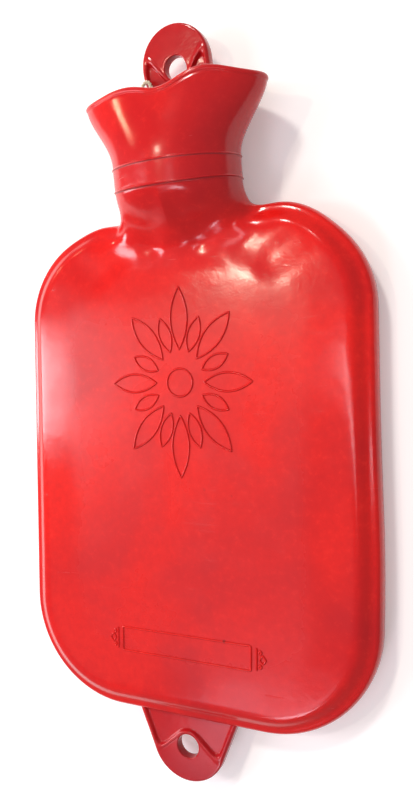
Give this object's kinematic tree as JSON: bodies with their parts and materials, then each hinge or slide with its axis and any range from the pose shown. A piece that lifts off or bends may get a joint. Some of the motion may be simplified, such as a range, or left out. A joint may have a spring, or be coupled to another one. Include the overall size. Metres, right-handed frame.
{
  "type": "hot water bottle",
  "caption": "Flat moulded red rubber hot water bottle with a flared mouth, a screw stopper on a short cord loop and a hanging tab at each end.",
  "frame": {"origin": "on the surface that the back panel rests on, in the middle of the width and of the length over both hanging tabs", "axes": "+X across the bottle to the viewer's right, +Y along it towards the mouth, +Z out of the front panel"},
  "size_m": [0.2, 0.4024, 0.055],
  "materials": {
    "red_rubber": "glossy moulded natural rubber, slightly aged",
    "brass": "dull turned brass",
    "hard_rubber": "black moulded hard rubber, worn satin",
    "washer_rubber": "dark red soft rubber",
    "cotton": "twisted cream cotton string, a little soiled"
  },
  "bodies": {
    "bottle": {"front_panel": "red_rubber", "back_panel": "red_rubber", "bag_rim": "red_rubber", "neck_and_mouth": "red_rubber", "upper_tab": "red_rubber", "lower_tab": "red_rubber", "neck_ferrule": "brass"},
    "washer_and_cord": {"stopper_washer": "washer_rubber", "cord_knot": "cotton", "pull_cord": "cotton"},
    "stopper": {"stopper": "hard_rubber"}
  },
  "joints": [
    {"name": "stopper_lift", "type": "slide", "parent": "bottle", "child": "washer_and_cord", "axis": [0, 0.9888, 0.1495], "range_m": [0, 0.014]},
    {"name": "stopper_turn", "type": "hinge", "parent": "washer_and_cord", "child": "stopper", "pos_m": [0, 0.12717, 0.02759], "axis": [0, 0.9888, 0.1495], "range_deg": [0, 1440]}
  ],
  "couplings": [
    {"joint": "stopper_lift", "follows": "stopper_turn", "m_per_rad": 0.000557}
  ]
}
